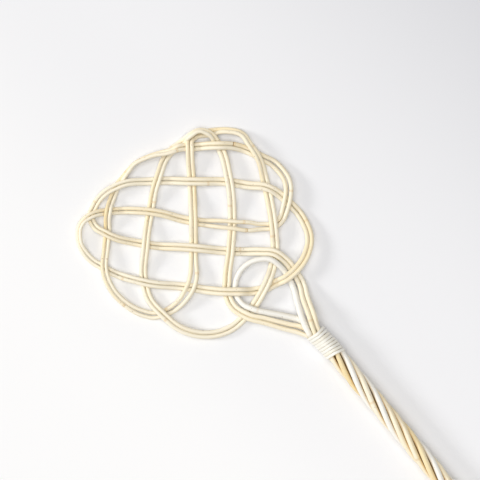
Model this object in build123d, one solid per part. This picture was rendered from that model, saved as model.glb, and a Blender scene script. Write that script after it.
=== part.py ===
"""Carpet beater of natural rattan: a flat woven knot, a bound neck and a twisted handle.

Two thin canes lie side by side and weave the whole head in one continuous run. A thicker
white cane adds an inner arch beside both legs. The six cane ends twist round a straight
core to make the handle, and flat strips of cane bind the neck and the butt.
The handle runs along Y, the head points towards +Y and the beater lies flat on Z = 0.
"""
import math
import os
from collections import namedtuple

from build123d import *

# Driving dimensions, in millimetres
HEAD_REACH = 262.0
HEAD_WIDTH = 216.0
HANDLE_LENGTH = 338.0
CANE_DIAMETER = 4.3
STRAND_DIAMETER = 5.2
WHITE_DIAMETER = 5.6
CORE_DIAMETER = 7.6
CANE_SPACING = 4.8
LAYER_CLEARANCE = 1.0
STRAND_CLEARANCE = 0.1
TWIST_PITCH = 133.0

# Stations along the handle's axis, from the middle of the neck: where the core starts,
# where the strands lie in their ring, two places inside the neck binding, and the length
# over which the thin canes swell to the strands' thickness. The neck leans off the axis.
CORE_START = 9.0
RING_START = 7.0
NECK_MIDDLE = 3.5
NECK_ENTRY = 14.0
SWELL_LENGTH = 30.0
NECK_LEAN_SHARE = -0.086

# Flat strip of the two bindings
STRIP_WIDTH = 2.7
STRIP_THICKNESS = 0.7
STRIP_GAP = 0.5
STRIP_CLEARANCE = 0.15
NECK_TURNS = 9
BUTT_TURNS = 4
BUTT_MARGIN = 6.0

# How far a cane's straight facets may cut inside its middle line
CHORD_SAG = 0.25

# Counts, and the turn of the first strand at the middle of the neck, in degrees
CANE_SIDES = 6
STRANDS = 6
TWIST_STEPS = 5
FIRST_STRAND_TURN = -2.2

# The reference photograph: the middle of the neck, the sizes of the head that HEAD_REACH
# and HEAD_WIDTH stand for, and the direction of the handle
NECK_PIXEL = (324.6, 341.2)
REACH_PIXELS = 262.0
WIDTH_PIXELS = 216.0
HANDLE_DIRECTION_SHARES = (0.646, 0.763)

# Half the rise from an under pass to an over pass, and the layer of a cane that lies over
# the thicker white cane
LAYER = (CANE_DIAMETER + LAYER_CLEARANCE) / 2
WHITE_EXTRA = WHITE_DIAMETER - CANE_DIAMETER
OVER_WHITE = 1 + WHITE_EXTRA / LAYER

# Where two runs of the paired canes cross, across and down in pixels. Columns count from
# the left and rows from the top.
CROSSING_PIXELS = {
    "column1_row2": (116.8, 187.0),
    "column1_row3": (108.8, 211.6),
    "column1_row4": (106.6, 233.6),
    "column1_row5": (104.8, 268.4),
    "column2_row1": (170.8, 151.4),
    "column2_row2": (157.3, 181.0),
    "column2_row3": (150.4, 211.8),
    "column2_row4": (146.1, 244.3),
    "column2_row5": (144.4, 282.2),
    "column3_row1": (192.2, 147.0),
    "column3_row2": (191.7, 181.5),
    "column3_row3": (193.5, 221.3),
    "column3_row4": (193.5, 247.8),
    "column3_row5": (190.4, 287.4),
    "column4_row1": (221.4, 145.8),
    "column4_row2": (229.6, 182.3),
    "column4_row3": (232.2, 224.9),
    "column4_row4": (230.5, 251.2),
    "column4_row5": (226.6, 290.8),
    "column5_row1": (256.6, 154.8),
    "column5_row2": (266.6, 187.5),
    "column5_row3": (273.5, 225.4),
    "column5_row4": (274.8, 252.9),
    "column5_row5": (264.9, 289.1),
    "left_loops": (90.8, 216.0),
    "right_loops": (287.0, 201.0),
    "top_loops": (208.0, 132.2),
    "bottom_loops": (162.3, 313.5),
    "right_leg": (294.2, 271.3),
    "lower_leg": (246.2, 316.0),
}

# One row of a route: its place in pixels, the spacing of the two canes there in shares of
# CANE_SPACING, its layer (1 over, -1 under, None by turns at a crossing and from its
# neighbours at a bend), the name of the crossing that it is, and whether the right-hand
# cane is spliced there
Row = namedtuple("Row", "place spacing_share layer crosses spliced")

# One point of a cane's middle line and the direction in which it passes it
Station = namedtuple("Station", "point heading")


def crossing(name, spacing_share=1.0, layer=None):
    """A row where the run passes over or under another run."""
    return Row(CROSSING_PIXELS[name], spacing_share, layer, name, False)


def bend(across, down, spacing_share=1.0, layer=None, spliced=False):
    """A row that only shapes the run between two crossings."""
    return Row((across, down), spacing_share, layer, None, spliced)


# The single run of the paired canes, from the right leg through the whole head and back
# to the lower leg. It passes under and over by turns.
PAIR_ROUTE = [
    # right leg, inward past the outer right loop, and row 4 to the left
    bend(310.2, 312.0, 1.15),
    bend(305.6, 299.4, 1.15),
    bend(301.0, 282.6, 1.1),
    crossing("right_leg"),
    bend(285.6, 260.4),
    crossing("column5_row4"),
    crossing("column4_row4"),
    crossing("column3_row4"),
    crossing("column2_row4"),
    crossing("column1_row4"),
    # small left loop and row 2 to the right
    bend(94.4, 225.4, layer=0.1),
    crossing("left_loops"),
    bend(94.4, 206.6, layer=-1),
    bend(104.6, 193.8, layer=0.8),
    crossing("column1_row2"),
    crossing("column2_row2"),
    crossing("column3_row2"),
    crossing("column4_row2"),
    crossing("column5_row2"),
    # outer right loop and row 5 to the left
    crossing("right_loops"),
    bend(303.6, 220.6),
    bend(310.4, 238.6),
    bend(306.6, 256.4),
    crossing("right_leg", layer=OVER_WHITE),
    bend(285.8, 278.2, layer=OVER_WHITE),
    bend(276.0, 282.8, layer=-0.3),
    crossing("column5_row5"),
    bend(255.0, 290.4, layer=-1),
    bend(239.0, 290.8, layer=OVER_WHITE),
    crossing("column4_row5", layer=OVER_WHITE),
    crossing("column3_row5"),
    crossing("column2_row5"),
    crossing("column1_row5"),
    # big left loop and row 3 to the right
    bend(88.6, 257.0),
    bend(79.2, 239.0),
    bend(81.6, 223.6),
    crossing("left_loops", layer=1.2),
    bend(97.4, 213.4, layer=0.65),
    crossing("column1_row3"),
    crossing("column2_row3"),
    crossing("column3_row3"),
    crossing("column4_row3", 1.5),
    bend(248.0, 226.4, 1.8, spliced=True),
    crossing("column5_row3"),
    # inner right loop and row 1 to the left
    crossing("right_loops", 1.2),
    bend(287.6, 182.3, 1.25),
    bend(277.4, 166.6, 1.25),
    crossing("column5_row1"),
    bend(247.6, 150.4, layer=-1),
    bend(236.0, 147.0, layer=0.8, spliced=True),
    crossing("column4_row1", layer=2.05),
    crossing("column3_row1", layer=-0.9),
    bend(181.2, 147.6, layer=0.9),
    crossing("column2_row1"),
    # top left corner and column 1 down
    bend(150.0, 156.6),
    bend(134.0, 163.6),
    bend(123.0, 172.6),
    crossing("column1_row2"),
    bend(112.2, 199.0, layer=-0.6),
    crossing("column1_row3", layer=1.35),
    crossing("column1_row4"),
    crossing("column1_row5"),
    # inner bottom loop and column 3 up
    bend(111.0, 287.0),
    bend(126.4, 304.2, spliced=True),
    bend(144.0, 312.6),
    crossing("bottom_loops"),
    bend(179.0, 304.0, 1.3),
    crossing("column3_row5", 1.6),
    crossing("column3_row4"),
    crossing("column3_row3"),
    crossing("column3_row2"),
    crossing("column3_row1", layer=1.25),
    # lower top loop and column 5 down
    bend(191.8, 140.8, layer=0.65),
    bend(195.4, 136.2, layer=-0.5),
    crossing("top_loops"),
    bend(226.4, 129.0, layer=-1),
    bend(241.8, 134.1),
    bend(251.2, 144.8, layer=0.9),
    crossing("column5_row1"),
    crossing("column5_row2"),
    crossing("column5_row3"),
    crossing("column5_row4"),
    bend(274.4, 263.6, layer=-1),
    bend(270.0, 279.0, layer=1.2),
    crossing("column5_row5", layer=1.3),
    bend(261.4, 295.8, layer=0.9),
    bend(256.4, 303.4, layer=-0.3),
    # outer bottom loop and column 2 up
    crossing("lower_leg"),
    bend(228.0, 330.0),
    bend(206.0, 334.6),
    bend(182.6, 329.2),
    crossing("bottom_loops"),
    bend(149.4, 298.6),
    crossing("column2_row5"),
    crossing("column2_row4"),
    crossing("column2_row3"),
    crossing("column2_row2"),
    crossing("column2_row1"),
    # upper top loop, column 4 down and out by the lower leg
    bend(178.4, 142.0, layer=-1),
    bend(188.0, 133.4, layer=1.6),
    bend(198.0, 129.2, layer=1.6),
    crossing("top_loops", layer=1.3),
    crossing("column4_row1", layer=-0.1),
    crossing("column4_row2"),
    crossing("column4_row3"),
    crossing("column4_row4"),
    crossing("column4_row5"),
    bend(233.6, 305.8),
    crossing("lower_leg"),
    bend(266.6, 321.8),
    bend(285.0, 326.6, 1.25),
    bend(301.1, 330.4, 1.4),
]

# The white cane beside both legs, from the right leg to the lower leg: across and down in
# pixels, and the layer where it crosses the paired canes
WHITE_ROUTE = [
    bend(303.4, 319.4),
    bend(297.4, 303.0),
    bend(293.2, 287.6),
    bend(287.2, 275.4, layer=-1),
    bend(279.6, 265.8, layer=0.6),
    bend(271.6, 260.4, layer=1.3),
    bend(256.6, 258.6),
    bend(243.4, 265.2),
    bend(236.4, 277.6),
    bend(235.6, 292.6, layer=-1),
    bend(242.4, 300.0),
    bend(254.0, 305.0, layer=1.5),
    bend(268.0, 310.2),
    bend(284.0, 314.4),
    bend(301.1, 319.4),
]

# The six strands in their order round the core
STRAND_ORDER = [
    "right_outer",
    "lower_inner",
    "lower_white",
    "lower_outer",
    "right_white",
    "right_inner",
]
# Places of the strands inside the neck binding, at NECK_ENTRY and at NECK_MIDDLE, where
# they close from the flat of the legs to the ring: across and up from the neck's axis, in
# shares of NECK_RING
ENTRY_SHARES = {
    "right_outer": (0.81, 0.74),
    "lower_inner": (-0.34, -0.42),
    "lower_white": (0.58, -0.81),
    "lower_outer": (-1.17, -0.33),
    "right_white": (-0.88, 0.60),
    "right_inner": (-0.03, 0.99),
}
MIDDLE_SHARES = {
    "right_outer": (0.24, 0.97),
    "lower_inner": (0.37, 0.13),
    "lower_white": (0.79, -0.63),
    "lower_outer": (-0.44, -0.90),
    "right_white": (-1.02, -0.12),
    "right_inner": (-0.66, 0.76),
}

# Sizes that follow
CANE_RADIUS = CANE_DIAMETER / 2
WHITE_RADIUS = WHITE_DIAMETER / 2
HEAD_MIDDLE_Z = LAYER + CANE_RADIUS
STRAND_RADIUS = STRAND_DIAMETER / 2
NECK_RING = CORE_DIAMETER / 2 + STRAND_CLEARANCE + CANE_RADIUS
CANE_RING = CORE_DIAMETER / 2 + STRAND_CLEARANCE + STRAND_RADIUS
WHITE_RING = CORE_DIAMETER / 2 + STRAND_CLEARANCE + WHITE_RADIUS
BINDING_RADIUS = WHITE_RING + WHITE_RADIUS + STRIP_CLEARANCE + STRIP_THICKNESS / 2
HANDLE_Z = BINDING_RADIUS + STRIP_THICKNESS / 2
STRIP_PITCH = STRIP_WIDTH + STRIP_GAP
NECK_BINDING_LENGTH = NECK_TURNS * STRIP_PITCH + STRIP_WIDTH


def plan_place(pixel):
    """Place in the beater's own plan of a pixel of the photograph."""
    dx = pixel[0] - NECK_PIXEL[0]
    dy = pixel[1] - NECK_PIXEL[1]
    sine, cosine = HANDLE_DIRECTION_SHARES
    x = (cosine * dx - sine * dy) * HEAD_WIDTH / WIDTH_PIXELS
    y = -(sine * dx + cosine * dy) * HEAD_REACH / REACH_PIXELS
    return Vector(x, y)


def heading_at(before, here, after):
    """Direction of the circle through three points at the middle one."""
    run_in = here - before
    run_out = after - here
    whole = run_in / run_in.dot(run_in) + run_out / run_out.dot(run_out)
    return whole.normalized()


def filled_heights(points, heights):
    """Heights with each missing one on a smooth rise between its known neighbours."""
    filled = list(heights)
    known = [i for i, height in enumerate(heights) if height is not None]
    for first, last in zip(known, known[1:]):
        runs = [(points[i + 1] - points[i]).length for i in range(first, last)]
        for i in range(first + 1, last):
            share = sum(runs[: i - first]) / sum(runs)
            rise = (1 - math.cos(math.pi * share)) / 2
            filled[i] = heights[first] + (heights[last] - heights[first]) * rise
    return filled


def head_stations(rows, heights, start, end):
    """Stations of a run through the head, between a point before it and one after it."""
    plan = [plan_place(row.place) for row in rows]
    flat = [Vector(start.X, start.Y)] + plan + [Vector(end.X, end.Y)]
    filled = filled_heights(flat, [start.Z] + heights + [end.Z])
    points = [Vector(place.X, place.Y, z) for place, z in zip(flat, filled)]
    stations = []
    for i in range(len(rows)):
        before, here, after = points[i : i + 3]
        heading = heading_at(before, here, after)
        if (here.Z - before.Z) * (after.Z - here.Z) <= 0:
            heading = Vector(heading.X, heading.Y).normalized()
        stations.append(Station(here, heading))
    return stations


def pair_heights():
    """Height of the paired canes at each row of their route, None at a free bend."""
    heights = []
    layer = -1
    for row in PAIR_ROUTE:
        shown = layer if row.crosses and row.layer is None else row.layer
        heights.append(None if shown is None else HEAD_MIDDLE_Z + shown * LAYER)
        if row.crosses:
            layer = -layer
    return heights


def white_heights():
    """Height of the white cane at each row of its route, None at a free bend."""
    heights = []
    for row in WHITE_ROUTE:
        if row.layer is None:
            heights.append(None)
        else:
            heights.append(HEAD_MIDDLE_Z + row.layer * LAYER + WHITE_EXTRA / 2)
    return heights


def beside(stations, rows, side):
    """The stations moved to the left (1) or to the right (-1) by half the spacing."""
    moved = []
    for station, row in zip(stations, rows):
        left = Vector(-station.heading.Y, station.heading.X).normalized()
        offset = left * (side * row.spacing_share * CANE_SPACING / 2)
        moved.append(Station(station.point + offset, station.heading))
    return moved


def strand_radius(strand):
    """Distance of a strand's middle line from the handle's axis."""
    return WHITE_RING if strand.endswith("white") else CANE_RING


def neck_lean(y):
    """How far the axis of the neck lies beside the handle's axis."""
    return NECK_LEAN_SHARE * max(0, y + RING_START)


def neck_point(strand, y, shares):
    """Place of a strand inside the neck binding."""
    across, up = shares[strand]
    return Vector(across * NECK_RING + neck_lean(y), y, HANDLE_Z + up * NECK_RING)


def strand_stations(strand, next_point):
    """Stations of one strand from the butt up through the neck binding."""
    slot = STRAND_ORDER.index(strand)
    radius = strand_radius(strand)
    rise = TWIST_PITCH / (2 * math.pi)
    length = HANDLE_LENGTH - RING_START
    steps = math.ceil(length * TWIST_STEPS / TWIST_PITCH)
    stations = []
    for step in range(steps + 1):
        y = length * step / steps - HANDLE_LENGTH
        turn = math.radians(FIRST_STRAND_TURN + 360 * (slot / STRANDS + y / TWIST_PITCH))
        point = Vector(radius * math.sin(turn), y, HANDLE_Z + radius * math.cos(turn))
        heading = Vector(radius * math.cos(turn), rise, -radius * math.sin(turn))
        stations.append(Station(point, heading.normalized()))
    middle = neck_point(strand, NECK_MIDDLE, MIDDLE_SHARES)
    entry = neck_point(strand, NECK_ENTRY, ENTRY_SHARES)
    stations.append(Station(middle, heading_at(stations[-1].point, middle, entry)))
    stations.append(Station(entry, heading_at(middle, entry, next_point)))
    return stations


def reversed_stations(stations):
    """The same stations walked the other way."""
    return [Station(station.point, -station.heading) for station in reversed(stations)]


def with_strands(head, start_strand, end_strand):
    """Stations of a whole cane: up one strand, through the head and down another."""
    start = strand_stations(start_strand, head[0].point)
    end = strand_stations(end_strand, head[-1].point)
    return start + head + reversed_stations(end)


def entry_middle(first, second):
    """Middle between two strands where they enter the neck binding."""
    places = [neck_point(strand, NECK_ENTRY, ENTRY_SHARES) for strand in (first, second)]
    return (places[0] + places[1]) / 2


def paired_cane(side, kind):
    """Stations of the left-hand (1) or right-hand (-1) cane, and where it is spliced."""
    start = entry_middle("right_inner", "right_outer")
    end = entry_middle("lower_inner", "lower_outer")
    middle = head_stations(PAIR_ROUTE, pair_heights(), start, end)
    head = beside(middle, PAIR_ROUTE, side)
    stations = with_strands(head, "right_" + kind, "lower_" + kind)
    before = (len(stations) - len(head)) // 2
    splices = [before + i for i, row in enumerate(PAIR_ROUTE) if row.spliced]
    return stations, splices


def white_cane():
    """Stations of the white cane."""
    start = neck_point("right_white", NECK_ENTRY, ENTRY_SHARES)
    end = neck_point("lower_white", NECK_ENTRY, ENTRY_SHARES)
    head = head_stations(WHITE_ROUTE, white_heights(), start, end)
    return with_strands(head, "right_white", "lower_white")


def tangent_run(start, heading, end):
    """One arc from start to end that leaves along heading, or a line if it is straight."""
    if heading.get_angle(end - start) == 0:
        return Edge.make_line(start, end)
    return Edge.make_tangent_arc(start, heading, end)


def biarc(first, second):
    """Two arcs that join smoothly and pass both stations in their directions."""
    chord = second.point - first.point
    both = first.heading + second.heading
    reach = chord.dot(both)
    spare = 4 - both.dot(both)
    arm = chord.dot(chord) / (reach + math.sqrt(reach * reach + spare * chord.dot(chord)))
    near = first.point + first.heading * arm
    far = second.point - second.heading * arm
    joint = (near + far) / 2
    return [
        tangent_run(first.point, first.heading, joint),
        tangent_run(joint, far - near, second.point),
    ]


def middle_line(stations):
    """Smooth line through the stations."""
    edges = []
    for first, second in zip(stations, stations[1:]):
        edges += biarc(first, second)
    return Wire(edges)


def cane_places(stations):
    """Stations along the middle line, as close as its bends need for CHORD_SAG."""
    places = []
    for first, second in zip(stations, stations[1:]):
        for run in biarc(first, second):
            curved = run.geom_type == GeomType.CIRCLE
            longest = math.sqrt(8 * CHORD_SAG * run.radius) if curved else run.length
            steps = math.ceil(run.length / longest)
            places += [Station(run @ (i / steps), run % (i / steps)) for i in range(steps)]
    return places + [stations[-1]]


def cane_section(place, side, radius):
    """Face across a cane, or along the flush cut where the place lies on the butt."""
    other = place.heading.cross(side)
    at_butt = abs(place.point.Y + HANDLE_LENGTH) < STRAND_CLEARANCE
    corners = []
    for i in range(CANE_SIDES):
        turn = 2 * math.pi * i / CANE_SIDES
        corner = place.point + (side * math.cos(turn) + other * math.sin(turn)) * radius
        if at_butt:
            corner -= place.heading * ((corner.Y + HANDLE_LENGTH) / place.heading.Y)
        corners.append(corner)
    return Face(Wire.make_polygon(corners))


def round_cane(stations, diameter, strand_diameter):
    """Solid cane along the stations, which swells to the strand's thickness in the handle."""
    sections = []
    side = Vector(0, 0, 1)
    for place in cane_places(stations):
        side = (side - place.heading * side.dot(place.heading)).normalized()
        swell = min(max(-(place.point.Y + RING_START) / SWELL_LENGTH, 0), 1)
        radius = (diameter + (strand_diameter - diameter) * swell) / 2
        sections.append(cane_section(place, side, radius))
    return loft(sections, ruled=True)


def strip_binding(lowest_y, turns, lean=lambda y: 0):
    """Flat strip wound round the strands from lowest_y upwards, and its least gap. Both of
    its ends lie on the underside."""
    rise = STRIP_PITCH / (2 * math.pi)
    stations = []
    sections = []
    for step in range(2 * turns + 1):
        turn = step * math.pi
        across = math.sin(turn)
        up = -math.cos(turn)
        y = lowest_y + STRIP_WIDTH / 2 + rise * turn
        point = Vector(BINDING_RADIUS * across + lean(y), y, HANDLE_Z + BINDING_RADIUS * up)
        heading = Vector(-BINDING_RADIUS * up, rise, BINDING_RADIUS * across).normalized()
        plane = Plane(origin=point, x_dir=(across, 0, up), z_dir=heading)
        stations.append(Station(point, heading))
        sections.append(plane * Rectangle(STRIP_THICKNESS, STRIP_WIDTH))
    strip = sweep(sections, path=middle_line(stations), multisection=True, clean=False)
    steps = [(far.point - near.point).length for near, far in zip(stations, stations[2:])]
    return strip, min(steps) - STRIP_WIDTH


def core():
    """Straight rod inside the twisted strands."""
    plane = Plane(origin=(0, -HANDLE_LENGTH, HANDLE_Z), z_dir=(0, 1, 0))
    return extrude(plane * Circle(CORE_DIAMETER / 2), HANDLE_LENGTH - CORE_START)


def all_pieces():
    """Every piece of the beater by name."""
    made = {}
    stations, _ = paired_cane(1, "inner")
    made["cane_unbroken"] = round_cane(stations, CANE_DIAMETER, STRAND_DIAMETER)
    stations, splices = paired_cane(-1, "outer")
    cuts = [0] + splices + [len(stations) - 1]
    names = ["cane_right_leg", "cane_right_loop", "cane_corner", "cane_lower_leg"]
    for name, first, last in zip(names, cuts, cuts[1:]):
        part = stations[first : last + 1]
        made[name] = round_cane(part, CANE_DIAMETER, STRAND_DIAMETER)
    made["cane_white"] = round_cane(white_cane(), WHITE_DIAMETER, WHITE_DIAMETER)
    made["handle_core"] = core()
    neck_end = NECK_ENTRY - NECK_BINDING_LENGTH
    made["neck_binding"], neck_gap = strip_binding(neck_end, NECK_TURNS, neck_lean)
    made["butt_binding"], butt_gap = strip_binding(BUTT_MARGIN - HANDLE_LENGTH, BUTT_TURNS)
    print(f"least gap between turns: neck {neck_gap:.2f} mm, butt {butt_gap:.2f} mm")
    return made


# The origin is the middle of the beater's footprint, on the surface that it lies on
pieces = all_pieces()
box = Compound(list(pieces.values())).bounding_box()
to_origin = Pos(-box.center().X, -box.center().Y, -box.min.Z)
print(f"overall {box.size.X:.1f} x {box.size.Y:.1f} x {box.size.Z:.1f} mm")

os.makedirs("parts", exist_ok=True)
for name, piece in pieces.items():
    export_step(to_origin * piece, f"parts/{name}.step")
    print(name, f"{piece.volume:.0f} mm3")
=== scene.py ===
import math
import random
from collections import namedtuple

import bpy
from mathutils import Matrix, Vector


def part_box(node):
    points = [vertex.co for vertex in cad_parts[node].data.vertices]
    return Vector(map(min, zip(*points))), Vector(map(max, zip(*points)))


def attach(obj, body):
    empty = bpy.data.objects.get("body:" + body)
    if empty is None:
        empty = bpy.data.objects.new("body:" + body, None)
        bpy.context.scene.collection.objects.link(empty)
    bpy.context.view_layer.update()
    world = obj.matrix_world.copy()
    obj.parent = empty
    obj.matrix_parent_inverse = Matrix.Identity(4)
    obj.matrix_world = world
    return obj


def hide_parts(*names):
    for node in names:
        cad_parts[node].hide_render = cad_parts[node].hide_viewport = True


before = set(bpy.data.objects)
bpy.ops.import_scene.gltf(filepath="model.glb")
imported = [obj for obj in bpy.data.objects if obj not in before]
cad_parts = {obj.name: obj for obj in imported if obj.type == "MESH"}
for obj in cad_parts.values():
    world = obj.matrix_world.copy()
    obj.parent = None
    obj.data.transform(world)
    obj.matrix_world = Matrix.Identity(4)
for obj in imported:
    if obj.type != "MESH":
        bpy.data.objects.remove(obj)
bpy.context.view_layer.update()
bpy.ops.object.select_all(action="DESELECT")

# The unbroken cane.
# One thin peeled rattan cane about three metres long. It starts as a strand of the handle,
# weaves the whole head as the inner one of a pair, and comes back as another strand.

MM = 0.001
CANE_RADIUS = 2.2
STRAND_RADIUS = 2.95
HANDLE_LENGTH = 338.0

# The neck's middle, from which everything is measured, lies a little beyond the core's end
CORE_START = 9.0
core_low, core_high = (Vector(corner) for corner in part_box("handle_core"))
HANDLE_HEIGHT = (core_low.z + core_high.z) / 2 / MM
NECK = Vector(((core_low.x + core_high.x) / 2 / MM, core_high.y / MM + CORE_START, 0.0))

# Heights in the head: its middle, how far above or below that a cane crosses another, and
# how much of a layer higher it has to pass over the thicker white cane
HEAD_MIDDLE_HEIGHT = 4.8
LAYER = 2.65
WHITE_EXTRA = 1.3
OVER_WHITE = 1 + WHITE_EXTRA / LAYER

# Where two runs of the pair cross: across and down in the photograph's own frame. Columns
# count from the left and rows from the top.
CROSSINGS = {
    "column1_row2": (117.4, 186.4),
    "column1_row3": (108.8, 211.6),
    "column1_row4": (107.4, 234.0),
    "column1_row5": (104.8, 268.4),
    "column2_row1": (170.8, 151.4),
    "column2_row2": (157.3, 181.0),
    "column2_row3": (150.4, 211.8),
    "column2_row4": (146.1, 244.3),
    "column2_row5": (144.4, 282.2),
    "column3_row1": (190.0, 147.2),
    "column3_row2": (191.7, 181.5),
    "column3_row3": (193.5, 221.3),
    "column3_row4": (193.5, 247.8),
    "column3_row5": (190.4, 287.4),
    "column4_row1": (218.6, 145.8),
    "column4_row2": (229.6, 182.3),
    "column4_row3": (232.2, 224.9),
    "column4_row4": (230.5, 251.2),
    "column4_row5": (226.9, 291.5),
    "column5_row1": (256.6, 154.8),
    "column5_row2": (266.6, 187.5),
    "column5_row3": (273.5, 225.4),
    "column5_row4": (274.8, 252.9),
    "column5_row5": (263.8, 289.0),
    "left_loops": (90.8, 216.0),
    "right_loops": (287.0, 201.0),
    "top_loops": (208.0, 133.0),
    "bottom_loops": (162.3, 313.5),
    "right_leg": (294.2, 271.3),
    "lower_leg": (246.2, 315.3),
}

Row = namedtuple("Row", "place spacing_share layer crosses spliced upper")
Station = namedtuple("Station", "point heading")


def crossing(name, spacing_share=1.0, layer=None, upper=0):
    """A row where the run passes over or under another run. Where one cane of the pair lies
    partly on the other, upper says which: the left-hand one (1) or the right-hand one (-1)."""
    return Row(CROSSINGS[name], spacing_share, layer, True, False, upper)


def bend(across, down, spacing_share=1.0, layer=None, spliced=False, upper=0):
    """A row that only shapes the run between two crossings."""
    return Row((across, down), spacing_share, layer, False, spliced, upper)


# The single run of the pair, from the right leg through the head and back to the lower leg
PAIR_ROUTE = [
    bend(310.2, 312.0, 1.15),
    bend(305.6, 299.4, 1.15),
    bend(301.0, 282.6, 1.1),
    crossing("right_leg"),
    bend(285.6, 260.4),
    crossing("column5_row4"),
    bend(260.0, 251.4),
    bend(245.0, 251.6),
    crossing("column4_row4"),
    crossing("column3_row4"),
    crossing("column2_row4"),
    crossing("column1_row4"),
    bend(94.4, 225.4, layer=0.1),
    crossing("left_loops"),
    bend(94.4, 206.6, layer=-1),
    bend(104.6, 193.8, layer=0.8),
    crossing("column1_row2"),
    crossing("column2_row2"),
    crossing("column3_row2"),
    crossing("column4_row2"),
    bend(248.2, 185.4),
    crossing("column5_row2"),
    crossing("right_loops"),
    bend(303.6, 220.6),
    bend(309.4, 238.8),
    bend(305.5, 255.9),
    crossing("right_leg", layer=OVER_WHITE),
    bend(285.8, 278.2, layer=OVER_WHITE),
    bend(276.0, 282.8, layer=-0.3),
    crossing("column5_row5"),
    bend(255.0, 290.8, layer=-1),
    bend(239.0, 291.5, layer=OVER_WHITE),
    crossing("column4_row5", layer=OVER_WHITE),
    bend(209.6, 290.3),
    crossing("column3_row5"),
    crossing("column2_row5"),
    crossing("column1_row5"),
    bend(88.6, 257.0),
    bend(79.5, 239.0, 0.8, upper=-1),
    bend(81.9, 223.6, 0.8, upper=-1),
    crossing("left_loops", layer=1.2),
    bend(97.4, 213.4, layer=0.65),
    crossing("column1_row3"),
    crossing("column2_row3"),
    crossing("column3_row3"),
    crossing("column4_row3", 1.5),
    bend(248.0, 226.4, 1.8, spliced=True),
    bend(261.0, 226.6, 1.15),
    crossing("column5_row3"),
    crossing("right_loops", 1.2),
    bend(287.4, 182.5, 1.2),
    bend(277.2, 166.8, 1.2),
    crossing("column5_row1"),
    bend(247.6, 150.4, layer=-1),
    bend(232.4, 146.2, layer=0.8, spliced=True),
    crossing("column4_row1", layer=2.05),
    crossing("column3_row1", layer=-0.9),
    bend(181.2, 147.6, layer=0.9),
    crossing("column2_row1", 0.7, layer=1.3, upper=1),
    bend(150.0, 156.5, 0.3, layer=0.7, upper=1),
    bend(134.6, 164.2, 0.2, layer=0.0, upper=1),
    bend(126.6, 173.4, 0.45, layer=-0.3, upper=1),
    crossing("column1_row2", 0.88),
    bend(112.2, 199.0, layer=-0.6),
    crossing("column1_row3", layer=1.35),
    crossing("column1_row4"),
    bend(105.9, 251.5),
    crossing("column1_row5"),
    bend(111.0, 287.0),
    bend(126.4, 304.2, spliced=True),
    bend(144.2, 313.5, 1.15),
    bend(154.4, 315.4, 1.15),
    crossing("bottom_loops"),
    bend(178.0, 304.9, 1.25),
    crossing("column3_row5", 1.6),
    crossing("column3_row4"),
    crossing("column3_row3"),
    crossing("column3_row2"),
    crossing("column3_row1", layer=1.25),
    bend(190.0, 141.2, layer=0.65),
    bend(194.2, 136.2, layer=-0.5),
    crossing("top_loops"),
    bend(226.4, 130.6, 0.63, layer=-0.3, upper=-1),
    bend(241.6, 134.3, 0.6, layer=0.2, upper=-1),
    bend(250.4, 145.6, 0.65, layer=1.0, upper=-1),
    crossing("column5_row1", 0.75, layer=1.3, upper=-1),
    crossing("column5_row2"),
    crossing("column5_row3"),
    crossing("column5_row4"),
    bend(273.2, 263.6, layer=-1),
    bend(268.6, 278.8, layer=1.2),
    crossing("column5_row5", layer=1.3),
    bend(260.2, 295.8, layer=0.9),
    bend(255.8, 303.0, layer=-0.3),
    crossing("lower_leg"),
    bend(228.0, 330.0),
    bend(206.0, 334.6),
    bend(182.6, 329.2),
    crossing("bottom_loops"),
    bend(149.4, 298.6),
    crossing("column2_row5"),
    crossing("column2_row4"),
    crossing("column2_row3"),
    crossing("column2_row2"),
    crossing("column2_row1"),
    bend(181.6, 143.0, 0.88, layer=-1),
    bend(190.2, 135.8, 0.5, layer=1.6, upper=-1),
    bend(199.6, 131.0, 0.4, layer=1.8, upper=-1),
    crossing("top_loops", 0.65, layer=1.45, upper=-1),
    crossing("column4_row1", layer=-0.1),
    crossing("column4_row2"),
    crossing("column4_row3"),
    crossing("column4_row4"),
    bend(227.2, 278.6),
    crossing("column4_row5"),
    bend(232.4, 305.6),
    crossing("lower_leg"),
    bend(266.6, 320.8, 1.1),
    bend(285.0, 325.9, 1.25),
    bend(301.1, 330.0, 1.4),
]

# The neck's middle in the photograph's frame, in which the handle leans to the right, and
# the sine and cosine of that lean. A pixel stands for a millimetre.
NECK_PIXEL = (324.6, 341.2)
HANDLE_SINE = 0.646
HANDLE_COSINE = 0.763

# The canes of the pair are thinnest in the loops at the photograph's left, and swell a little
# in the legs. Their spacing follows their thickness only in part.
CANE_SPACING = 4.55
STEADY_SPACING = 0.35
THINNEST = 0.78
THICKEST = 0.99
THINNEST_ACROSS = 85.0
THICKEST_ACROSS = 195.25
LEG_SWELL = 0.20
LEG_SWELL_LENGTH = 90.0
LEG_START_LENGTH = 12.0

# The six strands in their order round the core, and the helix that each follows
STRAND_ORDER = [
    "right_outer",
    "lower_inner",
    "lower_white",
    "lower_outer",
    "right_white",
    "right_inner",
]
STRANDS = len(STRAND_ORDER)
FIRST_STRAND_TURN = -2.2
TWIST_PITCH = 133.0
TWIST_STEPS = 5
CANE_RING = 6.45
WHITE_RING = 6.6
RING_START = 7.0
STRAND_SWELL_LENGTH = 30.0

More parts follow.
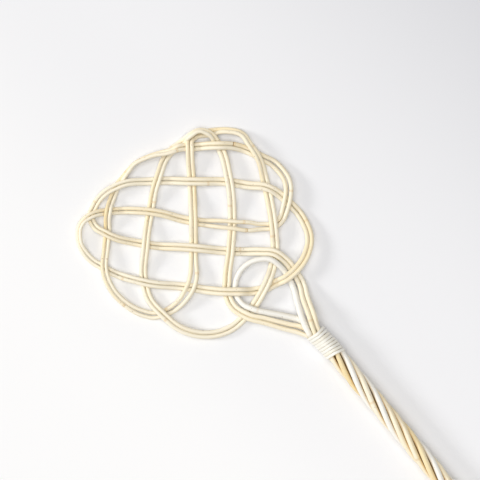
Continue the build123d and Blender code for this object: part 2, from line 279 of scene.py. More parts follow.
# Inside the neck binding the strands leave the helix and lean towards the legs. Where each
# lies there: across and up from the neck's axis, in shares of the ring that they close to
NECK_MIDDLE = 3.5
NECK_ENTRY = 14.0
NECK_RING = 6.05
NECK_LEAN = -0.086
ENTRY_SHARES = {
    "right_outer": (0.81, 0.74),
    "lower_inner": (-0.34, -0.42),
    "lower_white": (0.58, -0.81),
    "lower_outer": (-1.17, -0.33),
    "right_white": (-0.88, 0.60),
    "right_inner": (-0.03, 0.99),
}
MIDDLE_SHARES = {
    "right_outer": (0.24, 0.97),
    "lower_inner": (0.37, 0.13),
    "lower_white": (0.79, -0.63),
    "lower_outer": (-0.44, -0.90),
    "right_white": (-1.02, -0.12),
    "right_inner": (-0.66, 0.76),
}
# How far each strand lies from its even place round the core, in degrees
STRAND_SHIFTS = {
    "right_outer": -3.0,
    "lower_inner": 0.0,
    "lower_white": 3.0,
    "lower_outer": 0.0,
    "right_white": 3.0,
    "right_inner": 0.0,
}
# How golden each strand is below the neck, from bleached (0) to honey (1)
STRAND_TONES = {
    "right_outer": 0.3,
    "lower_inner": 0.75,
    "lower_white": 0.0,
    "lower_outer": 0.25,
    "right_white": 0.0,
    "right_inner": 0.35,
}


def plan_place(pixel):
    """Place in the beater's plan of a point of the photograph, in millimetres."""
    dx = pixel[0] - NECK_PIXEL[0]
    dy = pixel[1] - NECK_PIXEL[1]
    across = HANDLE_COSINE * dx - HANDLE_SINE * dy
    along = -(HANDLE_SINE * dx + HANDLE_COSINE * dy)
    return Vector((NECK.x + across, NECK.y + along, 0.0))


def photo_across(point):
    """How far across the photograph a point lies."""
    return NECK_PIXEL[0] + HANDLE_COSINE * (point.x - NECK.x) - HANDLE_SINE * (point.y - NECK.y)


def heading_at(before, here, after):
    """Direction of the circle through three points at the middle one."""
    run_in = here - before
    run_out = after - here
    return (run_in / run_in.length_squared + run_out / run_out.length_squared).normalized()


def filled_heights(points, heights):
    """Heights with each missing one on a smooth rise between its known neighbours."""
    filled = list(heights)
    known = [i for i, height in enumerate(heights) if height is not None]
    for first, last in zip(known, known[1:]):
        runs = [(points[i + 1] - points[i]).length for i in range(first, last)]
        for i in range(first + 1, last):
            share = sum(runs[: i - first]) / sum(runs)
            rise = (1 - math.cos(math.pi * share)) / 2
            filled[i] = heights[first] + (heights[last] - heights[first]) * rise
    return filled


def head_stations(rows, heights, start, end):
    """Stations of a run through the head, between a point before it and one after it."""
    flat = [start] + [plan_place(row.place) for row in rows] + [end]
    flat = [Vector((place.x, place.y, 0.0)) for place in flat]
    filled = filled_heights(flat, [start.z] + heights + [end.z])
    points = [Vector((place.x, place.y, height)) for place, height in zip(flat, filled)]
    stations = []
    for before, here, after in zip(points, points[1:], points[2:]):
        heading = heading_at(before, here, after)
        if (here.z - before.z) * (after.z - here.z) <= 0:
            heading = Vector((heading.x, heading.y, 0.0)).normalized()
        stations.append(Station(here, heading))
    return stations


def pair_heights():
    """Height of the pair at each row of its route, None at a free bend."""
    heights = []
    layer = -1
    for row in PAIR_ROUTE:
        shown = layer if row.crosses and row.layer is None else row.layer
        heights.append(None if shown is None else HEAD_MIDDLE_HEIGHT + shown * LAYER)
        if row.crosses:
            layer = -layer
    return heights


def left_of(heading):
    """Level direction to the left of a heading."""
    return Vector((-heading.y, heading.x, 0.0)).normalized()


def ramp(value, low, high):
    """0 up to low, 1 from high on and a straight rise between them."""
    return max(0.0, min((value - low) / (high - low), 1.0))


def leg_swell(point):
    """How much thicker the canes are towards the neck."""
    distance = math.hypot(point.x - NECK.x, point.y - NECK.y)
    return LEG_SWELL * math.sqrt(max(0.0, 1 - distance / LEG_SWELL_LENGTH))


def thickness_at(point):
    """The pair's thickness in the head: thinner in the far loops, thicker at the legs."""
    share = ramp(photo_across(point), THINNEST_ACROSS, THICKEST_ACROSS)
    return THINNEST + (THICKEST - THINNEST) * share + leg_swell(point)


def beside(stations, rows, side):
    """The stations moved to the left (1) or to the right (-1) by half the spacing."""
    moved = []
    for station, row in zip(stations, rows):
        thickness = min(1.0, thickness_at(station.point))
        spacing = CANE_SPACING * (STEADY_SPACING + (1 - STEADY_SPACING) * thickness)
        reach = spacing / 2
        offset = left_of(station.heading) * (side * row.spacing_share * reach)
        if row.upper:
            offset.z = side * row.upper * reach * math.sqrt(1 - row.spacing_share**2)
        moved.append(Station(station.point + offset, station.heading))
    return moved


def neck_lean(along):
    """How far the axis of the neck lies beside the handle's axis."""
    return NECK_LEAN * max(0.0, along + RING_START)


def neck_point(strand, along, shares):
    """Place of a strand inside the neck binding."""
    across, up = (NECK_RING * share for share in shares[strand])
    return Vector((NECK.x + across + neck_lean(along), NECK.y + along, HANDLE_HEIGHT + up))


def strand_stations(strand, next_point):
    """Stations of one strand from the butt up through the neck binding."""
    slot = STRAND_ORDER.index(strand)
    radius = WHITE_RING if strand.endswith("white") else CANE_RING
    first_turn = FIRST_STRAND_TURN + STRAND_SHIFTS[strand]
    rise = TWIST_PITCH / (2 * math.pi)
    length = HANDLE_LENGTH - RING_START
    steps = math.ceil(length * TWIST_STEPS / TWIST_PITCH)
    stations = []
    for step in range(steps + 1):
        along = length * step / steps - HANDLE_LENGTH
        turn = math.radians(first_turn + 360 * (slot / STRANDS + along / TWIST_PITCH))
        across = radius * math.sin(turn)
        up = radius * math.cos(turn)
        point = Vector((NECK.x + across, NECK.y + along, HANDLE_HEIGHT + up))
        stations.append(Station(point, Vector((up, rise, -across)).normalized()))
    middle = neck_point(strand, NECK_MIDDLE, MIDDLE_SHARES)
    entry = neck_point(strand, NECK_ENTRY, ENTRY_SHARES)
    stations.append(Station(middle, heading_at(stations[-1].point, middle, entry)))
    stations.append(Station(entry, heading_at(middle, entry, next_point)))
    return stations


def with_strands(head, start_strand, end_strand):
    """Stations of a whole cane: up one strand, through the head and down another."""
    start = strand_stations(start_strand, head[0].point)
    end = strand_stations(end_strand, head[-1].point)
    return start + head + [Station(back.point, -back.heading) for back in reversed(end)]


def entry_middle(first, second):
    """Middle between two strands where they enter the neck binding."""
    places = [neck_point(strand, NECK_ENTRY, ENTRY_SHARES) for strand in (first, second)]
    return (places[0] + places[1]) / 2


def paired_cane(side, kind):
    """Stations of the left-hand (1) or right-hand (-1) cane, and where it is spliced."""
    start = entry_middle("right_inner", "right_outer")
    end = entry_middle("lower_inner", "lower_outer")
    middle = head_stations(PAIR_ROUTE, pair_heights(), start, end)
    head = beside(middle, PAIR_ROUTE, side)
    stations = with_strands(head, "right_" + kind, "lower_" + kind)
    before = (len(stations) - len(head)) // 2
    return stations, [before + i for i, row in enumerate(PAIR_ROUTE) if row.spliced]


# The rings of the canes' meshes lie this far apart along them
RING_STEP = 1.25
STRAIGHT_WITHIN = 1e-6


def arc_points(start, heading, end):
    """Points about a step apart on the arc that leaves start along heading, without end."""
    chord = end - start
    along = chord.dot(heading)
    off = chord - heading * along
    if off.length < STRAIGHT_WITHIN:
        count = max(1, round(chord.length / RING_STEP))
        return [start + chord * (i / count) for i in range(count)]
    half = math.atan2(off.length, along)
    radius = chord.length / (2 * math.sin(half))
    inward = off.normalized()
    count = max(1, round(2 * half * radius / RING_STEP))
    points = []
    for i in range(count):
        turn = 2 * half * i / count
        sideways = inward * (radius * (1 - math.cos(turn)))
        points.append(start + heading * (radius * math.sin(turn)) + sideways)
    return points


def middle_line(stations):
    """Points of the smooth line through the stations, two arcs between each two."""
    points = []
    for first, second in zip(stations, stations[1:]):
        chord = second.point - first.point
        both = first.heading + second.heading
        reach = chord.dot(both)
        spare = 4 - both.dot(both)
        length = chord.length_squared
        arm = length / (reach + math.sqrt(reach * reach + spare * length))
        near = first.point + first.heading * arm
        far = second.point - second.heading * arm
        joint = (near + far) / 2
        points += arc_points(first.point, first.heading, joint)
        points += arc_points(joint, (far - near).normalized(), second.point)
    return points + [stations[-1].point]


# A cane's small irregularities: its growth nodes, the slow waves in its thickness, and its
# cut ends, which are slightly rounded and darker than the rest. ENDS gives the place in the
# line of each end and of the point next to it.
NODE_SPACING = 235.0
FIRST_NODE_SHARES = (0.3, 0.9)
NODE_SHARES = (0.75, 1.3)
NODE_LENGTH = 1.9
NODE_RISE = 0.09
WAVES = 3
WAVE_LENGTHS = (60, 160)
WAVE_TURN = 6.28
WAVE_SHARE = 0.006
MEAN_SHARE = 0.98
END_ROUNDING = 0.14
END_DARKNESS = 0.8
END_LENGTH = 0.8
SPLICE_GAP = 0.2
BUTT_REACH = 1.0
ENDS = ((0, 1), (-1, -2))
SKIN_SIDES = 12
SKIN_ANGLE = math.radians(40)
SAME_PLACE = 1e-6


def growth_nodes(length, chance):
    """Distances along a cane at which the plant had its growth nodes."""
    nodes = []
    along = chance.uniform(*FIRST_NODE_SHARES) * NODE_SPACING
    while along < length:
        nodes.append(along)
        along += chance.uniform(*NODE_SHARES) * NODE_SPACING
    return nodes


def cane_thickness(line, travelled, radius, strand_radius, chance, partner_side):
    """A cane's radius at each point of its line, and how much of a node or cut end is there."""
    nodes = growth_nodes(travelled[-1], chance)
    waves = [(chance.uniform(*WAVE_LENGTHS), chance.uniform(0, WAVE_TURN)) for _ in range(WAVES)]
    radii = []
    knots = []
    for point, along in zip(line, travelled):
        wave = sum(math.sin(along * WAVE_TURN / period + phase) for period, phase in waves)
        knot = sum(math.exp(-(((along - node) / NODE_LENGTH) ** 2)) for node in nodes)
        swell = ramp(NECK.y - point.y, RING_START, RING_START + STRAND_SWELL_LENGTH)
        leg = ramp(point.y - NECK.y, NECK_ENTRY, NECK_ENTRY + LEG_START_LENGTH)
        widest = radius + (strand_radius - radius) * swell
        shown = thickness_at(point) if partner_side else 1 + leg_swell(point)
        share = 1 + (shown - 1) * leg
        size = widest * share * (MEAN_SHARE + WAVE_SHARE * wave) + NODE_RISE * knot
        end_gap = min(along, travelled[-1] - along)
        size *= 1 - END_ROUNDING * max(0.0, 1 - end_gap) ** 2
        radii.append(min(size, point.z if leg else widest))
        knots.append(knot + END_DARKNESS * math.exp(-((end_gap / END_LENGTH) ** 2)))
    return radii, knots


def tube(name, line, radii):
    """A round mesh along the line with flat ends, left selected."""
    curve = bpy.data.curves.new(name, "CURVE")
    curve.dimensions = "3D"
    curve.bevel_depth = 1.0
    curve.bevel_resolution = SKIN_SIDES // 2 - 2
    curve.use_fill_caps = True
    spline = curve.splines.new("POLY")
    spline.points.add(len(line) - 1)
    for ring, point, size in zip(spline.points, line, radii):
        ring.co = (*(point * MM), 1.0)
        ring.radius = size * MM
    cane = bpy.data.objects.new(name, curve)
    bpy.context.collection.objects.link(cane)
    bpy.context.view_layer.objects.active = cane
    cane.select_set(True)
    bpy.ops.object.convert(target="MESH")
    cane = bpy.context.object
    cane.name = name
    return cane


def point_attributes(mesh, *names):
    """New attributes on the points of a mesh: skin is a place, the others are numbers."""
    for name in names:
        mesh.attributes.new(name, "FLOAT_VECTOR" if name == "skin" else "FLOAT", "POINT")
    return [mesh.attributes[name] for name in names]


# Painted shade in the grooves: the colour turns brown and then dark in the handle where a
# strand faces its middle, and in the head where a cane faces the one beside it. Each has a
# value at the cane's sides and a slope round it, and the changes say where one turns into the
# other, and the strands' tones into the head's.
HANDLE_SHADE_SLOPE = 1.2
HANDLE_SHADE_SIDE = 0.45
PAIR_SHADE_SLOPE = 3.0
PAIR_SHADE_SIDE = -1.95
SHADE_CHANGE = (4.0, 18.0)
TONE_CHANGE = (-45.0, 15.0)


def paint_skin(mesh, line, travelled, radii, knots, tones, partner_side):
    """Write the point attributes that the canes' finish reads."""
    skin, painted_groove_shade, tone, knot = point_attributes(mesh, "skin", "painted_groove_shade", "tone", "knot")
    start_tone, head_tone, end_tone = tones
    halfway = travelled[-1] / 2
    for index, vertex in enumerate(mesh.vertices):
        ring = index // SKIN_SIDES
        if ring >= len(line):
            ring = 0 if (vertex.co / MM - line[0]).length < 2 * radii[0] else len(line) - 1
        turn = 2 * math.pi * (index % SKIN_SIDES) / SKIN_SIDES
        size = radii[ring] * MM
        place = (travelled[ring] * MM, size * math.cos(turn), size * math.sin(turn))
        skin.data[index].vector = place
        outward = (vertex.co / MM - line[ring]).normalized()
        point = line[ring]
        before = line[max(ring - 1, 0)]
        after = line[min(ring + 1, len(line) - 1)]
        # How far this point faces into the handle or towards the partner cane, where shade is
        # painted
        axis_side = Vector((point.x - NECK.x, 0.0, point.z - HANDLE_HEIGHT)).normalized()
        inside = HANDLE_SHADE_SIDE - HANDLE_SHADE_SLOPE * outward.dot(axis_side)
        towards_partner = outward.dot(left_of(after - before)) * -partner_side
        facing = PAIR_SHADE_SIDE + PAIR_SHADE_SLOPE * towards_partner
        share = ramp(point.y - NECK.y, *SHADE_CHANGE)
        painted_groove_shade.data[index].value = ramp(inside * (1 - share) + facing * share, 0.0, 1.0)
        end_share = ramp(NECK.y - point.y, *TONE_CHANGE)
        strand_tone = start_tone if travelled[ring] < halfway else end_tone
        tone.data[index].value = head_tone + (strand_tone - head_tone) * end_share
        knot.data[index].value = knots[ring]


def cut_flush(mesh, line):
    """Cut the ends that lie in the butt level with the butt's flat face."""
    butt = NECK.y - HANDLE_LENGTH
    for end, next_to in ENDS:
        if line[end].y < butt + BUTT_REACH:
            step = line[next_to] - line[end]
            for vertex in mesh.vertices:
                place = vertex.co / MM - line[end]
                on_cut = abs(place.dot(step.normalized())) < step.length / 2
                if on_cut and place.length < step.length + STRAND_RADIUS:
                    slide = (butt - vertex.co.y / MM) / step.y
                    vertex.co += step * (slide * MM)


def round_cane(name, stations, radius, strand_radius, tones, seed, partner_side=0):
    """A cane as a round mesh along the stations, with what its finish reads at each point:
    skin (its place on the straightened cane), the groove's painted shade (how far it faces its
    neighbours or the handle's inside), tone (how golden it is) and knot (a growth node)."""
    chance = random.Random(seed)
    line = middle_line(stations)
    for end, next_to in ENDS:
        if line[end].y > NECK.y:
            line[end] += (line[next_to] - line[end]).normalized() * SPLICE_GAP
    travelled = [0.0]
    for before, here in zip(line, line[1:]):
        travelled.append(travelled[-1] + (here - before).length)
    radii, knots = cane_thickness(line, travelled, radius, strand_radius, chance, partner_side)
    cane = tube(name, line, radii)
    paint_skin(cane.data, line, travelled, radii, knots, tones, partner_side)
    cut_flush(cane.data, line)
    bpy.ops.object.mode_set(mode="EDIT")
    bpy.ops.mesh.select_all(action="SELECT")
    bpy.ops.mesh.remove_doubles(threshold=SAME_PLACE)
    bpy.ops.object.mode_set(mode="OBJECT")
    bpy.ops.object.shade_smooth_by_angle(angle=SKIN_ANGLE)
    cane.select_set(False)
    return cane


class Wired:
    """A varying value in a finish: the operators add the Math nodes that work it out."""

    def __init__(self, finish, socket):
        self.finish = finish
        self.socket = socket

    def worked(self, operation, first, second):
        return self.finish.node("Math", {"operation": operation}, {0: first, 1: second})

    def __add__(self, other):
        return self.worked("ADD", self, other)

    def __sub__(self, other):
        return self.worked("SUBTRACT", self, other)

    def __rsub__(self, other):
        return self.worked("SUBTRACT", other, self)

    def __mul__(self, other):
        return self.worked("MULTIPLY", self, other)

    __radd__ = __add__
    __rmul__ = __mul__

    def between(self, low, high):
        """0 below low, 1 above high and a smooth rise between them."""
        settings = {"interpolation_type": "SMOOTHSTEP"}
        sockets = {"Value": self, "From Min": low, "From Max": high}
        return self.finish.node("MapRange", settings, sockets)


class Finish:
    """A material with one surface, its constants, and the nodes that vary over it."""

    def __init__(self, name, **constants):
        self.material = bpy.data.materials.new(name)
        self.material.use_nodes = True
        self.tree = self.material.node_tree
        self.surface = self.tree.nodes["Principled BSDF"]
        for socket, value in constants.items():
            self.surface.inputs[socket.replace("_", " ")].default_value = value

    def node(self, kind, settings, sockets, output=0):
        """A new node of a kind, with its settings made first and its sockets filled."""
        made = self.tree.nodes.new("ShaderNode" + kind)
        for setting, value in settings.items():
            setattr(made, setting, value)
        for socket, value in sockets.items():
            if isinstance(value, Wired):
                self.tree.links.new(value.socket, made.inputs[socket])
            else:
                made.inputs[socket].default_value = value
        return Wired(self, made.outputs[output])

    def attribute(self, name, output="Fac"):
        """What the piece's own attribute says."""
        return self.node("Attribute", {"attribute_name": name}, {}, output)

    def place(self):
        """Place on the piece, in metres."""
        return self.node("TexCoord", {}, {}, "Object")

    def stretched(self, place, scales):
        """A place measured in other lengths along each of its axes."""
        return self.node("VectorMath", {"operation": "MULTIPLY"}, {0: place, 1: scales})

    def noise(self, place, scale, detail=2.0, roughness=0.5):
        """Soft noise from 0 to 1."""
        sockets = {"Vector": place, "Scale": scale, "Detail": detail, "Roughness": roughness}
        return self.node("TexNoise", {}, sockets)

    def mix(self, share, first, second):
        """One colour that turns into another as the share grows."""
        sockets = {0: share, 6: first, 7: second}
        for socket in (6, 7):
            if isinstance(sockets[socket], tuple):
                sockets[socket] = (*sockets[socket], 1.0)
        return self.node("Mix", {"data_type": "RGBA"}, sockets, 2)

    def feed(self, **sockets):
        """Link varying values to the surface."""
        for socket, value in sockets.items():
            self.tree.links.new(value.socket, self.surface.inputs[socket.replace("_", " ")])

    def raised(self, height, distance, strength=1.0):
        """A surface that a height in shares of the distance makes uneven."""
        sockets = {"Height": height, "Distance": distance, "Strength": strength}
        self.feed(Normal=self.node("Bump", {}, sockets))


def cane_skin(name, pale, honey, streak_and_shade, dark, roughness):
    """Peeled cane: long fibres, drifting colour, growth nodes, flecks, a satin gloss and painted
    shade in the grooves.
    """
    finish = Finish(name, Coat_Weight=0.12, Coat_Roughness=0.3, Specular_IOR_Level=0.35)
    skin = finish.attribute("skin", "Vector")
    tone = finish.attribute("tone")
    knot = finish.attribute("knot")
    painted_groove_shade = finish.attribute("painted_groove_shade")
    drift = finish.noise(finish.stretched(skin, (9.0, 160.0, 160.0)), 1.0, 3.0)
    fibres = finish.noise(finish.stretched(skin, (26.0, 1900.0, 1900.0)), 1.0, 3.0, 0.6)
    fine = finish.noise(finish.stretched(skin, (60.0, 5200.0, 5200.0)), 1.0, 1.0)
    specks = finish.noise(finish.stretched(skin, (420.0, 900.0, 900.0)), 1.0, 0.0)
    golden = (tone + (drift - 0.5) * 1.7).between(0.0, 1.0)
    colour = finish.mix(golden, pale, honey)
    colour = finish.mix(fibres.between(0.54, 0.84) * 0.4, colour, streak_and_shade)
    colour = finish.mix(knot.between(0.35, 1.0) * 0.35, colour, streak_and_shade)
    colour = finish.mix(specks.between(0.78, 0.83) * 0.5, colour, dark)
    # Painted shade: brown, then dark, where the cane faces its neighbours or the handle's inside
    colour = finish.mix(painted_groove_shade.between(0.0, 0.55) * 0.75, colour, streak_and_shade)
    colour = finish.mix(painted_groove_shade.between(0.45, 1.0) * 0.92, colour, dark)
    finish.feed(Base_Color=colour, Roughness=roughness + (fibres - 0.5) * 0.25)
    finish.raised(fibres * 0.7 + fine * 0.3, 0.00012)
    return finish.material


def cut_cane(name, pith, pore):
    """The end of a cut cane: pale pith with rows of open pores."""
    finish = Finish(name, Roughness=0.8, Specular_IOR_Level=0.2)
    pores = finish.node("TexVoronoi", {}, {"Vector": finish.place(), "Scale": 2300.0}, "Distance")
    grain = finish.noise(finish.place(), 900.0)
    open_pore = 1 - pores.between(0.12, 0.34)
    colour = finish.mix(grain, pith, tuple(0.8 * part for part in pith))
    finish.feed(Base_Color=finish.mix(open_pore, colour, pore))
    finish.raised(1 - open_pore, 0.0002)
    return finish.material


cane_finish = cane_skin(
    "peeled_cane",
    pale=(0.96, 0.89, 0.72),
    honey=(0.91, 0.74, 0.42),
    streak_and_shade=(0.72, 0.46, 0.15),
    dark=(0.20, 0.10, 0.03),
    roughness=0.45,
)
cut_finish = cut_cane("cut_cane", pith=(0.80, 0.66, 0.42), pore=(0.22, 0.13, 0.05))


def dress(piece, node, slot, *finishes):
    """Finish a piece, let it stand for its CAD node and ride with the beater."""
    for finish in finishes:
        piece.data.materials.append(finish)
    if len(finishes) > 1:
        for face in piece.data.polygons:
            face.material_index = 1 if len(face.vertices) > 4 else 0
    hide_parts(node)
    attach(piece, "root")


stations, _ = paired_cane(1, "inner")
tones = (STRAND_TONES["right_inner"], 0.25, STRAND_TONES["lower_inner"])
unbroken = round_cane(
    "cane_unbroken_skin", stations, CANE_RADIUS, STRAND_RADIUS, tones, seed=11, partner_side=1
)
dress(unbroken, "cane_unbroken", "cane", cane_finish, cut_finish)

# The four lengths of the other cane.
# The outer cane of the pair ran out three times, so it is four lengths of the same peeled
# cane, butted end to end in the head; the first and last are strands of the handle too.

stations, splices = paired_cane(-1, "outer")
cuts = [0] + splices + [len(stations) - 1]
lengths = [
    ("cane_right_leg", (STRAND_TONES["right_outer"], 0.2, 0.2), 23),
    ("cane_right_loop", (0.3, 0.3, 0.3), 31),
    ("cane_corner", (0.4, 0.4, 0.4), 47),
    ("cane_lower_leg", (0.25, 0.25, STRAND_TONES["lower_outer"]), 59),
]
for (node, tones, seed), first, last in zip(lengths, cuts, cuts[1:]):
    part = stations[first : last + 1]
    name = node + "_skin"
    cane = round_cane(name, part, CANE_RADIUS, STRAND_RADIUS, tones, seed, partner_side=-1)
    dress(cane, node, "cane", cane_finish, cut_finish)

# The white cane.
# A thicker bleached cane that bends into the small inner arch beside both legs, where it
# stiffens the head; its ends are the two white strands of the handle.

WHITE_RADIUS = 2.8
WHITE_ROUTE = [
    bend(302.3, 319.4),
    bend(297.4, 303.0),
    bend(293.2, 287.6),
    bend(287.2, 275.4, layer=-1),
    bend(279.6, 265.8, layer=0.6),
    bend(271.6, 260.0, layer=1.3),
    bend(257.0, 259.8),
    bend(243.9, 267.0),
    bend(236.9, 278.0),
    bend(235.6, 292.6, layer=-1),
    bend(242.5, 303.6),
    bend(254.2, 309.2, layer=1.5),
    bend(268.0, 312.3),
    bend(284.0, 315.4),
    bend(301.1, 320.2),
]


def white_heights():
    """Height of the white cane at each row of its route, None at a free bend."""
    raised = HEAD_MIDDLE_HEIGHT + WHITE_EXTRA / 2
    return [None if row.layer is None else raised + row.layer * LAYER for row in WHITE_ROUTE]


start = neck_point("right_white", NECK_ENTRY, ENTRY_SHARES)
end = neck_point("lower_white", NECK_ENTRY, ENTRY_SHARES)
head = head_stations(WHITE_ROUTE, white_heights(), start, end)
stations = with_strands(head, "right_white", "lower_white")
white_finish = cane_skin(
    "bleached_cane",
    pale=(0.935, 0.915, 0.85),
    honey=(0.90, 0.83, 0.68),
    streak_and_shade=(0.78, 0.62, 0.38),
    dark=(0.24, 0.13, 0.05),
    roughness=0.42,
)
tones = (STRAND_TONES["right_white"], 0.1, STRAND_TONES["lower_white"])
white = round_cane("cane_white_skin", stations, WHITE_RADIUS, STRAND_RADIUS, tones, seed=71)
dress(white, "cane_white", "white_cane", white_finish, cut_finish)

# The handle's core.
# A straight rod of cane that the six strands are twisted round. It shows only as a dark
# line between them and as one more cut end in the butt, so the CAD rod itself is kept.

core_finish = Finish("aged_core", Roughness=0.7, Specular_IOR_Level=0.2)
place = core_finish.place()
fibres = core_finish.noise(core_finish.stretched(place, (1500.0, 30.0, 1500.0)), 1.0, 3.0)
pores = core_finish.node("TexVoronoi", {}, {"Vector": place, "Scale": 1900.0}, "Distance")
facing = core_finish.node("TexCoord", {}, {}, "Normal")
across = core_finish.node("SeparateXYZ", {}, {"Vector": facing}, "Y")
cut_end = (across * -1.0).between(0.85, 0.95)
bark = core_finish.mix(fibres, (0.36, 0.22, 0.09), (0.22, 0.12, 0.045))
pith = core_finish.mix(pores.between(0.12, 0.34), (0.25, 0.15, 0.06), (0.78, 0.63, 0.40))
core_finish.feed(Base_Color=core_finish.mix(cut_end, bark, pith))
core_finish.raised(fibres, 0.0002)
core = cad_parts["handle_core"]
for slot in core.material_slots:
    slot.material = core_finish.material

# The neck binding.
# Flat split cane, smooth skin outwards, wound wet and tight round the neck where the legs
# become the handle; as it dries it shrinks and grips. Its ends are tucked in underneath.

STRIP_PITCH = 3.2
STRIP_WIDTH = 2.7
SHOWN_WIDTH = 3.10
STRIP_THICKNESS = 0.62
STRIP_ROUNDING = 0.12
STRIP_CROWN = 0.20
STRIP_SEGMENTS = 48
STRIP_COLUMNS = 8
STRIP_ANGLE = math.radians(50)

# The binding's outer face is as high as the handle's axis, since the beater lies on it. The
# turns drift along it and sink into it a little, spread apart on one side, and slant where
# they pass its sides.
SKIN_HEIGHT = 0.35
BINDING_RADIUS = HANDLE_HEIGHT - SKIN_HEIGHT
TURN_DRIFT = 0.14
TURN_SINK = 0.10
TURN_SPREAD = 0.15
TURN_SLANT = 0.55


def eased(values, along):
    """The value at a place between whole ones, with a smooth rise from each to the next."""
    whole = int(along)
    part = along - whole
    return values[whole] + (values[whole + 1] - values[whole]) * part * part * (3 - 2 * part)


def wound_strip(name, lowest, turns, seed, lean):
    """A flat strip wound round the handle from its lower end up, both ends underneath."""
    chance = random.Random(seed)
    drifts = [chance.uniform(-TURN_DRIFT, TURN_DRIFT) for _ in range(turns + 2)]
    lifts = [chance.uniform(-TURN_SINK, 0.0) for _ in range(turns + 2)]
    segments = turns * STRIP_SEGMENTS
    bpy.ops.mesh.primitive_grid_add(x_subdivisions=segments, y_subdivisions=STRIP_COLUMNS, size=2)
    strip = bpy.context.object
    strip.name = name
    mesh = strip.data
    skin, turn_edge_shade = point_attributes(mesh, "skin", "turn_edge_shade")
    for index, vertex in enumerate(mesh.vertices):
        along = (vertex.co.x + 1) / 2 * turns
        sideways = vertex.co.y
        turn = 2 * math.pi * along
        sunk = eased(lifts, along) - STRIP_CROWN * sideways**6
        radius = BINDING_RADIUS + SKIN_HEIGHT + sunk
        spread = TURN_SPREAD * STRIP_PITCH * (along - turns / 2) * max(0.0, math.sin(turn))
        height = STRIP_PITCH * along + SHOWN_WIDTH / 2 * sideways
        height += eased(drifts, along) + spread
        height += lowest + STRIP_WIDTH / 2 - TURN_SLANT * math.sin(turn)
        across = radius * math.sin(turn) + (neck_lean(height) if lean else 0.0)
        up = -radius * math.cos(turn)
        vertex.co = Vector((NECK.x + across, NECK.y + height, HANDLE_HEIGHT + up)) * MM
        travelled = 2 * math.pi * BINDING_RADIUS * along
        skin.data[index].vector = (travelled * MM, sideways * STRIP_WIDTH / 2 * MM, seed * MM)
        turn_edge_shade.data[index].value = abs(sideways)
    bpy.ops.object.mode_set(mode="EDIT")
    bpy.ops.mesh.select_all(action="SELECT")
    bpy.ops.mesh.normals_make_consistent(inside=False)
    bpy.ops.object.mode_set(mode="OBJECT")
    wall = strip.modifiers.new("wall", "SOLIDIFY")
    wall.thickness = STRIP_THICKNESS * MM
    wall.offset = -1.0
    rounded = strip.modifiers.new("rounded", "BEVEL")
    rounded.width = STRIP_ROUNDING * MM
    rounded.segments = 2
    rounded.limit_method = "ANGLE"
    rounded.angle_limit = STRIP_ANGLE
    for modifier in ("wall", "rounded"):
        bpy.ops.object.modifier_apply(modifier=modifier)
    bpy.ops.object.shade_smooth_by_angle(angle=STRIP_ANGLE)
    strip.select_set(False)
    return strip


strip_finish = Finish("split_strip", Coat_Weight=0.3, Coat_Roughness=0.15, Specular_IOR_Level=0.5)
skin = strip_finish.attribute("skin", "Vector")
turn_edge_shade = strip_finish.attribute("turn_edge_shade")
fibres = strip_finish.noise(strip_finish.stretched(skin, (30.0, 2600.0, 1.0)), 1.0, 3.0, 0.6)
drift = strip_finish.noise(strip_finish.stretched(skin, (14.0, 200.0, 1.0)), 1.0, 2.0)
colour = strip_finish.mix(drift.between(0.35, 0.75), (0.955, 0.94, 0.875), (0.93, 0.88, 0.74))
colour = strip_finish.mix(fibres.between(0.55, 0.85) * 0.35, colour, (0.74, 0.66, 0.47))
# Painted shade: the strip darkens along its edges, where the turns meet
colour = strip_finish.mix(turn_edge_shade.between(0.86, 1.0) * 0.6, colour, (0.50, 0.43, 0.26))
strip_finish.feed(Base_Color=colour, Roughness=0.30 + fibres * 0.18)
strip_finish.raised(fibres, 0.00008)

NECK_TURNS = 9
lowest = NECK_ENTRY - NECK_TURNS * STRIP_PITCH - STRIP_WIDTH
neck = wound_strip("neck_binding_strip", lowest, NECK_TURNS, seed=5, lean=True)
dress(neck, "neck_binding", "strip", strip_finish.material)

# The butt binding.
# The same split strip wound round the lower end of the handle, so that the twisted strands
# can't spring apart behind their square cut.

BUTT_MARGIN = 6.0
BUTT_TURNS = 4
lowest = BUTT_MARGIN - HANDLE_LENGTH
butt = wound_strip("butt_binding_strip", lowest, BUTT_TURNS, seed=8, lean=False)
dress(butt, "butt_binding", "strip", strip_finish.material)

# The table top, the light and the camera.
# The beater lies on a white surface under soft window light from the lower left, and is
# seen from straight above with its handle running out of the lower right corner.

MIDDLE_FROM_NECK = Vector((0.83, 131.87, 0.0))
PHOTO_TURN = -math.atan2(HANDLE_SINE, HANDLE_COSINE)
PHOTO_REACH = 0.240
TABLE_SIZE = 6.0
middle = (NECK + MIDDLE_FROM_NECK) * MM
right = Vector((HANDLE_COSINE, -HANDLE_SINE, 0.0))
up = Vector((HANDLE_SINE, HANDLE_COSINE, 0.0))

bpy.ops.mesh.primitive_plane_add(size=TABLE_SIZE, location=middle, rotation=(0, 0, PHOTO_TURN))
table = bpy.context.object
table.name = "table_top"
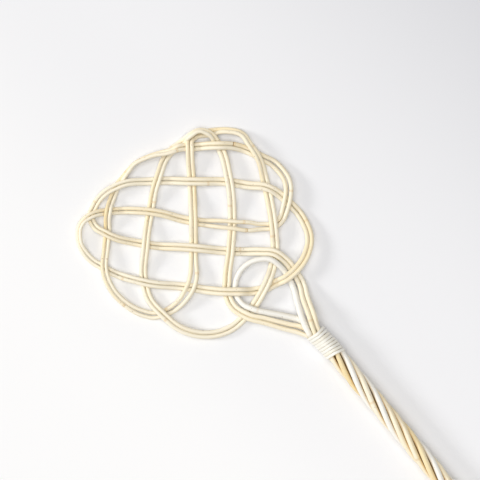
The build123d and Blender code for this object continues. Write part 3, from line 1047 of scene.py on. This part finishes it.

# Painted shade: the surface's colour darkens from the lower left, past its middle at 0, to the
# upper right at 1, as the light falls off across it.
CORNER_SHARE = 2.083
paper = Finish("white_surface", Roughness=0.7, Specular_IOR_Level=0.1)
diagonal = {0: paper.place(), 1: (CORNER_SHARE, CORNER_SHARE, 0.0)}
corner = paper.node("VectorMath", {"operation": "DOT_PRODUCT"}, diagonal, "Value")
colour = paper.mix(corner.between(-0.62, 0.15), (0.952, 0.955, 0.962), (0.870, 0.875, 0.898))
colour = paper.mix(corner.between(0.15, 1.6), colour, (0.598, 0.605, 0.64))
paper.feed(Base_Color=colour)
table.data.materials.append(paper.material)
table.select_set(False)

world = bpy.data.worlds.new("studio")
world.use_nodes = True
room = world.node_tree.nodes["Background"]
room.inputs["Color"].default_value = (1.0, 0.965, 0.925, 1.0)
room.inputs["Strength"].default_value = 0.28
bpy.context.scene.world = world


def distant_light(name, toward, spread, strength, colour):
    """A far light as wide as spread in degrees, shining from the direction of toward."""
    light = bpy.data.lights.new(name, "SUN")
    light.angle = math.radians(spread)
    light.energy = strength
    light.color = colour
    lamp = bpy.data.objects.new(name, light)
    bpy.context.collection.objects.link(lamp)
    lamp.location = middle + toward
    lamp.rotation_euler = toward.to_track_quat("Z", "Y").to_euler()


overhead = right * -0.15 + Vector((0.0, 0.0, 1.0))
distant_light("ceiling_light", overhead, spread=60.0, strength=1.87, colour=(1.0, 1.0, 1.0))
window = right * -1.0 + up * 0.12 + Vector((0.0, 0.0, 0.40))
distant_light("window_light", window, spread=13.0, strength=1.355, colour=(1.0, 0.99, 0.98))

CAMERA_HEIGHT = 2.4
camera_data = bpy.data.cameras.new("camera")
camera_data.angle = 2 * math.atan(PHOTO_REACH / CAMERA_HEIGHT)
camera = bpy.data.objects.new("camera", camera_data)
bpy.context.collection.objects.link(camera)
camera.location = middle + Vector((0.0, 0.0, CAMERA_HEIGHT))
camera.rotation_euler = (0.0, 0.0, PHOTO_TURN)
bpy.context.scene.camera = camera
bpy.context.scene.view_settings.view_transform = "Standard"
